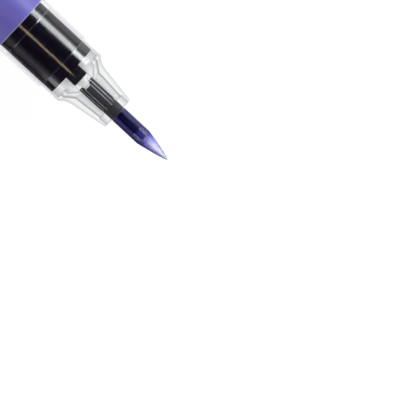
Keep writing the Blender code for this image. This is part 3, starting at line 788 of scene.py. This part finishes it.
def make_holder(material):
    """Brush holder with its flutes pressed into a surface that is fine where they run."""
    outline = soften(half_section("brush_holder"), cut=0.06 * mm)
    holder_radius = max(radius for _, radius in outline)
    fine = [HOLDER_FRONT_X - end - FLUTE_RUN_OUT * step / FLUTE_RUN_OUT_STEPS
            for _, end, _ in FLUTES for step in range(FLUTE_RUN_OUT_STEPS + 1)]
    walls = [FLUTE_EDGE - FLUTE_WALL * step / FLUTE_WALL_STEPS
             for step in range(FLUTE_WALL_STEPS + 1)]
    turns = set(even_turns(HOLDER_ROUND))
    for middle in (HOLDER_TURN, HOLDER_TURN + math.pi):
        for angle, _, _ in FLUTES:
            for side in (-1, 1):
                for offset in (0.0, *walls, *(-wall for wall in walls)):
                    turn = middle + side * angle + offset * FLUTE_WIDTH / holder_radius
                    turns.add(turn % math.tau)
    mesh = turned_mesh(divided(outline, [*fine, HOLDER_TAIL_X + TAIL_NOTCH]), sorted(turns))
    # share of painted glint in each flute, read by the holder's material
    flute_glint = mesh.verts.layers.float.new("flute_glint")
    for vert in mesh.verts:
        away = Vector((0, vert.co.y, vert.co.z - AXIS_Z))
        turn = math.atan2(away.y, away.z)
        vert.co.x = max(vert.co.x, HOLDER_TAIL_X + TAIL_NOTCH * notch_share(turn))
        if away.length > holder_radius - FLUTED_SKIN:
            depth, vert[flute_glint] = flute_share(turn, vert.co.x, holder_radius)
            vert.co -= away.normalized() * depth * FLUTE_DEPTH
    piece = finished("brush_holder_finish", mesh, [material])
    show(piece, "brush_unit", "dark_plastic", "brush_holder")


def brush_reach(x):
    """Outer radius of the brush at a station in front of the holder."""
    taper = min(1.0, max(0.0, TIP_X - x) / POINT_LENGTH)
    return BRUSH_RADIUS * taper ** POINT_FULLNESS


def brush_shell(name, gap, material):
    """Closed skin along the brush from the holder to the tip, the given way outside its strands."""
    near_x = HOLDER_FRONT_X + WET_FILM
    shares = [(1 - step / POINT_STEPS) ** POINT_CROWDING for step in range(POINT_STEPS)]
    stations = [near_x] + [TIP_X - POINT_LENGTH * share for share in shares]
    outline = [(x, max(STRAND_TIP_RADIUS, brush_reach(x) + gap)) for x in stations]
    outline = [(near_x, 0.0), *outline, (TIP_X + max(gap, 0.0), 0.0)]
    show(turned(name, outline, [material]), "brush_unit", "violet_fibre")


def make_soaked_column(name, radius, front_x, material):
    """Column of soaked fibres inside the brush, in front of the holder."""
    outline = [(HOLDER_FRONT_X, 0.0), (HOLDER_FRONT_X, radius), (front_x - SOAKED_CORNER, radius),
               (front_x, radius - SOAKED_CORNER), (front_x, 0.0)]
    show(turned(name, outline, [material]), "brush_unit", "violet_fibre")


def make_strands(material):
    """Tapered filaments from the holder's socket to the point, in the bundle's outer layer."""
    chance = random.Random(STRAND_SEED)
    golden_turn = math.pi * (3 - math.sqrt(5))
    point_x = TIP_X - POINT_LENGTH
    body = [HOLDER_FRONT_X - SOCKET_DEPTH, HOLDER_FRONT_X, HOLDER_FRONT_X + FLARE_LENGTH, point_x]
    mesh = bmesh.new()
    for index in range(STRANDS):
        turn = index * golden_turn
        depth = math.sqrt(STRAND_LAYER + (1 - STRAND_LAYER) * (index + 0.5) / STRANDS)
        end_x = TIP_X - POINT_LENGTH * STRAND_STAGGER * chance.random() ** 2
        point = [point_x + (end_x - point_x) * (step + 1) / STRAND_STEPS
                 for step in range(STRAND_STEPS)]
        rings = []
        for x in body + point:
            outer = brush_reach(x) - (SOCKET_WALL if x <= HOLDER_FRONT_X else 0.0)
            taper = min(1.0, (end_x - x) / POINT_LENGTH)
            thick = STRAND_TIP_RADIUS + (STRAND_RADIUS - STRAND_TIP_RADIUS) * taper
            radius = max(0.0, outer * depth - thick)
            centre = Vector((x, 0, AXIS_Z)) + radius * outward(turn)
            rings.append([centre + thick * outward(angle + turn)
                          for angle in even_turns(STRAND_SIDES)])
        add_tube(mesh, rings)
    piece = finished("brush_strands", mesh, [material])
    show(piece, "brush_unit", "violet_fibre", "brush_bristles")


def make_spring(material):
    """Valve spring as a round wire from the cage's floor towards the plunger's head."""
    lift = next(joint for joint in frame["joints"] if joint["name"] == "valve_lift")
    floor_x = lift["deforming_nodes"][0]["fixed_end_x_m"]
    count = SPRING_TURNS * SPRING_STEPS
    rise = (SPRING_SPACE - 2 * SPRING_SEAT) / count
    pitch = rise * SPRING_STEPS / math.tau
    rings = []
    for step in range(count + 1):
        away = outward(math.pi - math.tau * step / SPRING_STEPS)
        along = Vector((pitch, -SPRING_RADIUS * away.z, SPRING_RADIUS * away.y))
        across = along.normalized().cross(away)
        centre = Vector((floor_x + SPRING_SEAT + rise * step, 0, AXIS_Z)) + SPRING_RADIUS * away
        rings.append([
            centre + SPRING_WIRE_RADIUS * (math.cos(angle) * away + math.sin(angle) * across)
            for angle in even_turns(WIRE_SIDES)])
    mesh = bmesh.new()
    add_tube(mesh, rings)
    piece = finished("valve_spring_finish", mesh, [material])
    show(piece, "barrel_unit", "spring_steel", "valve_spring")
    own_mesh(piece)


def make_ball(material):
    """Polished mixing ball, round where the CAD's is faceted."""
    low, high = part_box("mixing_ball")
    mesh = bmesh.new()
    bmesh.ops.create_icosphere(mesh, subdivisions=4, radius=(high.x - low.x) / 2,
                               matrix=Matrix.Translation((low + high) / 2))
    piece = finished("mixing_ball_finish", mesh, [material])
    show(piece, "ball_unit", "spring_steel", "mixing_ball")


def paint_node(node, material):
    """Give a CAD node that shows as it is its material."""
    data = frame["nodes"][node].data
    data.materials.clear()
    data.materials.append(material)


# Studio

def level_plane(name, centre, size, material):
    """Level rectangle of the studio."""
    mesh = bmesh.new()
    bmesh.ops.create_grid(mesh, x_segments=1, y_segments=1, size=0.5,
                          matrix=Matrix.LocRotScale(centre, None, Vector((*size, 1.0))))
    return finished(name, mesh, [material])


def make_floor():
    """Pale floor that shows white, with the object's shadow on it."""
    material, tree, surface = new_material("pale_floor")
    path = add(tree, "ShaderNodeLightPath").outputs
    seen = path["Is Camera Ray"]
    for name in ("Is Glossy Ray", "Is Transmission Ray"):
        seen = compute(tree, 'MAXIMUM', seen, path[name])
    plain = shader(tree, "Diffuse", {"Color": neutral(FLOOR_TONE)})
    shaded = shader(tree, "Diffuse", {"Color": neutral(FLOOR_SHADE)})
    glow = add(tree, "ShaderNodeEmission", {"Color": WHITE, "Strength": FLOOR_GLOW})
    white = add(tree, "ShaderNodeAddShader", {0: shaded, 1: glow.outputs["Emission"]})
    tree.links.new(mix_shaders(tree, seen, plain, white.outputs["Shader"]), surface)
    centre = Vector((0, 0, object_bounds()[0].z))
    level_plane("floor", centre, (FLOOR_SIZE, FLOOR_SIZE), material)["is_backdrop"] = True


def make_dark_card():
    """Card on the floor that only reflections see, so the dark barrel keeps its edge."""
    material, tree, surface = new_material("dark_card")
    tone = tones(tree, noise(tree, 20 * mm), srgb(18, 18, 18), srgb(24, 24, 24))
    tree.links.new(shader(tree, "Diffuse", {"Color": tone}), surface)
    centre = Vector((TIP_X - CARD_SIZE[0] / 4, -CARD_GAP - CARD_SIZE[1] / 2,
                     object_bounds()[0].z + CARD_LIFT))
    card = level_plane("dark_card", centre, CARD_SIZE, material)
    card.visible_camera = card.visible_diffuse = False
    card.visible_shadow = card.visible_transmission = False
    card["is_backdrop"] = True


def make_world():
    """Studio with pale walls and a dark ceiling, so glossy dark pieces stay dark on top.

    The camera sees a white backdrop in its place.
    """
    world = bpy.data.worlds.new("studio")
    world.use_nodes = True
    bpy.context.scene.world = world
    tree = world.node_tree
    tree.nodes.clear()
    way = split(tree, add(tree, "ShaderNodeTexCoord").outputs["Generated"])
    wall = remap(tree, way["Y"], FILL_SIDE_WALL, KEY_SIDE_WALL, *WALL_TURN)
    skirting = compute(tree, 'COMPARE', way["Z"], *SKIRTING)
    wall = compute(tree, 'MULTIPLY', wall, remap(tree, skirting, 1.0, SKIRTING_SHADE))
    height = remap(tree, way["Z"], 0.0, 1.0, *WALL_TOP)
    light = add(tree, "ShaderNodeMix", {0: height, 2: wall, 3: CEILING_LIGHT}).outputs[0]
    studio = add(tree, "ShaderNodeBackground", {"Color": STUDIO_COLOUR, "Strength": light})
    backdrop = add(tree, "ShaderNodeBackground", {"Color": WHITE, "Strength": FLOOR_GLOW})
    seen = add(tree, "ShaderNodeLightPath").outputs["Is Camera Ray"]
    mix = mix_shaders(tree, seen, studio.outputs["Background"], backdrop.outputs["Background"])
    output = tree.nodes.new("ShaderNodeOutputWorld")
    tree.links.new(mix, output.inputs["Surface"])


def area_light(name, foot, angle, distance, size, power, colour=WHITE[:3]):
    """Lamp that faces its foot from an angle, sized along and across the marker."""
    lamp = bpy.data.lights.new(name, 'AREA')
    lamp.shape = 'RECTANGLE'
    lamp.size, lamp.size_y = size
    lamp.energy = power
    lamp.color = colour
    light = bpy.data.objects.new(name, lamp)
    back = outward(angle)
    along = Vector((1, 0, 0))
    light.matrix_world = Matrix((along, back.cross(along), back)).transposed().to_4x4()
    light.location = foot + distance * back
    light.visible_camera = False
    bpy.context.scene.collection.objects.link(light)
    return light


def feather(light):
    """Let a lamp's light fade towards its two sides along the marker."""
    light.data.use_nodes = True
    tree = light.data.node_tree
    place = split(tree, add(tree, "ShaderNodeNewGeometry").outputs["Parametric"])
    from_middle = compute(tree, 'ABSOLUTE', compute(tree, 'SUBTRACT', place["Y"], 0.5))
    fade = remap(tree, from_middle, 1.0, 0.0, *FEATHER, interpolation_type='SMOOTHSTEP')
    tree.links.new(fade, tree.nodes["Emission"].inputs["Strength"])


def make_lights():
    """Long softbox on one side, two strips, and soft fill from above and opposite."""
    def on_axis(x):
        return Vector((x, 0, AXIS_Z))

    feather(area_light("key_softbox", on_axis(TIP_X - KEY_AIM), KEY_ANGLE, KEY_DISTANCE, KEY_SIZE,
                       KEY_POWER, KEY_COLOUR))
    area_light("thin_strip", on_axis(TIP_X - LINE_END - LINE_SIZE[0] / 2), LINE_ANGLE,
               LINE_DISTANCE, LINE_SIZE, LINE_POWER, LINE_COLOUR)
    sheen = area_light("collar_strip", on_axis(BARREL_FRONT_X + SHEEN_AHEAD), SHEEN_ANGLE,
                       SHEEN_DISTANCE, SHEEN_SIZE, SHEEN_POWER)
    sheen.visible_diffuse = False
    feather(sheen)
    for name, angle, power in (("soft_top", 0.0, TOP_POWER), ("soft_fill", FILL_ANGLE, FILL_POWER)):
        soft = area_light(name, Vector(), angle, SOFT_DISTANCE, SOFT_SIZE, power)
        soft.visible_glossy = False


def make_camera():
    """Camera at the photograph's angle: from above, the marker running down to the right."""
    along = Vector((math.cos(AXIS_TILT), 0, math.sin(AXIS_TILT)))
    back = Vector((-math.sin(AXIS_TILT), 0, math.cos(AXIS_TILT)))
    aside = Vector((0, 1, 0))
    right = math.cos(IMAGE_TURN) * along + math.sin(IMAGE_TURN) * aside
    up = back.cross(right)
    data = bpy.data.cameras.new("camera")
    data.lens = CAMERA_LENS
    data.clip_start = CAMERA_CLIP
    camera = bpy.data.objects.new("camera", data)
    target = Vector((TIP_X + TARGET_AHEAD, TARGET_ASIDE, AXIS_Z))
    camera.matrix_world = Matrix((right, up, back)).transposed().to_4x4()
    camera.location = target + CAMERA_DISTANCE * back
    bpy.context.scene.collection.objects.link(camera)
    bpy.context.scene.camera = camera


# Clear walls: shine face on and edge on, roughness, tints
clear = {
    "cone": clear_plastic("clear_cone", 0.015, 0.10, 0.30, [
        (0.1, 0.97), (0.2, 0.94), (0.5, 0.93), (0.8, 0.78), (1.0, 0.84)]),
    "inside": clear_plastic("clear_inside", 0.0, 0.0, 0.30, [
        (0.09, 0.97), (0.16, 0.74), (0.24, 0.79), (0.33, 0.87), (0.50, 0.88), (0.72, 0.64),
        (1.0, 0.78)]),
    "shoulder": clear_plastic("clear_shoulder", 0.0, 0.0, 0.30, [
        (0.52, 0.955), (0.76, 0.66), (1.0, 0.80)]),
    "collar": clear_plastic("clear_collar", 0.10, 0.50, 0.12, [
        (0.5, 0.93), (0.8, 0.78), (1.0, 0.84)]),
    "rim": clear_plastic("clear_rim", 0.042, 0.22, 0.13, [
        (0.5, 0.93), (0.8, 0.78), (1.0, 0.84)]),
    "bonded": clear_plastic("clear_bonded", 0.0, 0.0, 0.30, [(0.0, 0.985), (1.0, 0.95)]),
    "frosted": frosted_material("frosted_skirt_edge", 0.31),
}
clear_tube = clear_plastic("clear_tube", 0.07, 0.40, 0.13, [
    (0.5, 0.945), (0.64, 0.915), (0.86, 0.86), (1.0, 0.85)])
clear_plate = clear_plastic("clear_plate", 0.004, 0.03, 0.30, [
    (0.07, 0.76), (0.15, 0.85), (0.25, 0.94), (0.40, 0.87), (0.64, 0.80), (1.0, 0.92)])
clear_guide = clear_plastic("clear_guide", 0.004, 0.03, 0.30, [
    (0.53, 0.985), (0.76, 0.80), (1.0, 0.88)])
clear_bush = clear_plastic("clear_bush", 0.004, 0.03, 0.30, [
    (0.3, 0.955), (0.75, 0.78), (1.0, 0.84)])
frosted_rim = frosted_material("frosted_barrel_edge", 0.45)

# Paint, film, mouldings and fibres
thick_paint = paint_material("violet_black_paint", srgb(10, 5, 18), srgb(16, 7, 30))
thin_paint = paint_material("thin_paint", srgb(46, 40, 54), srgb(52, 46, 60))
film = film_material()
violet = moulded_material("violet_moulding", srgb(88, 81, 160), srgb(94, 87, 168), 0.36)
white = moulded_material("white_moulding", srgb(248, 248, 247), srgb(252, 252, 251), 0.38)
grey = moulded_material("grey_moulding", srgb(84, 84, 88), srgb(92, 92, 96), 0.45)
rubber = moulded_material("black_rubber", srgb(30, 30, 30), srgb(38, 38, 39), 0.72, 0.10 * mm)
steel = steel_material()
soaked_core = soaked_material("soaked_core", srgb(92, 84, 184), srgb(98, 90, 194))
soaked_column = soaked_material("soaked_column", srgb(86, 80, 150), srgb(92, 86, 158))
body_fibre = fibre_material("brush_body_fibre", (0.44, 0.435, 0.50, 1.0), (0.58, 0.575, 0.65, 1.0),
                            covers=(0.03, 0.04, 0.08, 0.97))
strand_fibre = fibre_material("brush_fibre", (0.99, 0.99, 0.995, 1.0), (0.985, 0.985, 0.99, 1.0),
                              covers=(0.0, 0.0, 0.05, 0.95))

# Barrel, nozzle, valve and cap
make_barrel([clear_tube, clear["bonded"], frosted_rim])
make_nozzle(clear)
make_plate([clear_plate, clear_guide])
turn_again("mouth_bush", "barrel_unit", "clear_plastic", [clear_bush], 0.06 * mm)
turn_again("label_sleeve", "barrel_unit", "violet_film", [film], 0.04 * mm)
turn_again("tail_plug", "barrel_unit", "violet_plastic", [violet], 0.12 * mm)
turn_again("tail_o_ring", "barrel_unit", "black_rubber", [rubber], 0.2 * mm)
make_plunger(white)
turn_again("plunger_seal", "valve_unit", "black_rubber", [rubber], 0.10 * mm, CAD_SMALL_FACETS)
turn_again("feed_core", "brush_unit", "violet_fibre", [soaked_core], 0.15 * mm, CAD_SMALL_FACETS)
turn_again("cap_shell", "cap_unit", "violet_plastic", [violet], 0.35 * mm)
turn_again("inner_cap", "cap_unit", "white_plastic", [white], 0.15 * mm)
paint_node("valve_cage", grey)
make_spring(steel)
make_ball(steel)
make_paint(thick_paint, thin_paint)

# Brush, from its holder out to the film of paint
make_holder(holder_material())
soaked_x = HOLDER_FRONT_X + SOAKED_LENGTH
make_soaked_column("brush_soaked_column", COLUMN_RADIUS, soaked_x - COLUMN_SETBACK, soaked_column)
for layer, (radius, level) in enumerate(LOOSE_LAYERS, start=1):
    name = "brush_loose_fibres_%d" % layer
    make_soaked_column(name, radius, soaked_x, loose_fibre_material(name, level))
brush_shell("brush_body", -BUNDLE_GAP, body_fibre)
make_strands(strand_fibre)
brush_shell("brush_film", WET_FILM, film_of_paint())

# Studio and camera
make_floor()
make_dark_card()
make_world()
make_lights()
make_camera()
bpy.context.scene.view_settings.view_transform = 'Standard'
bpy.context.scene.cycles.transparent_max_bounces = CLEAR_LAYERS
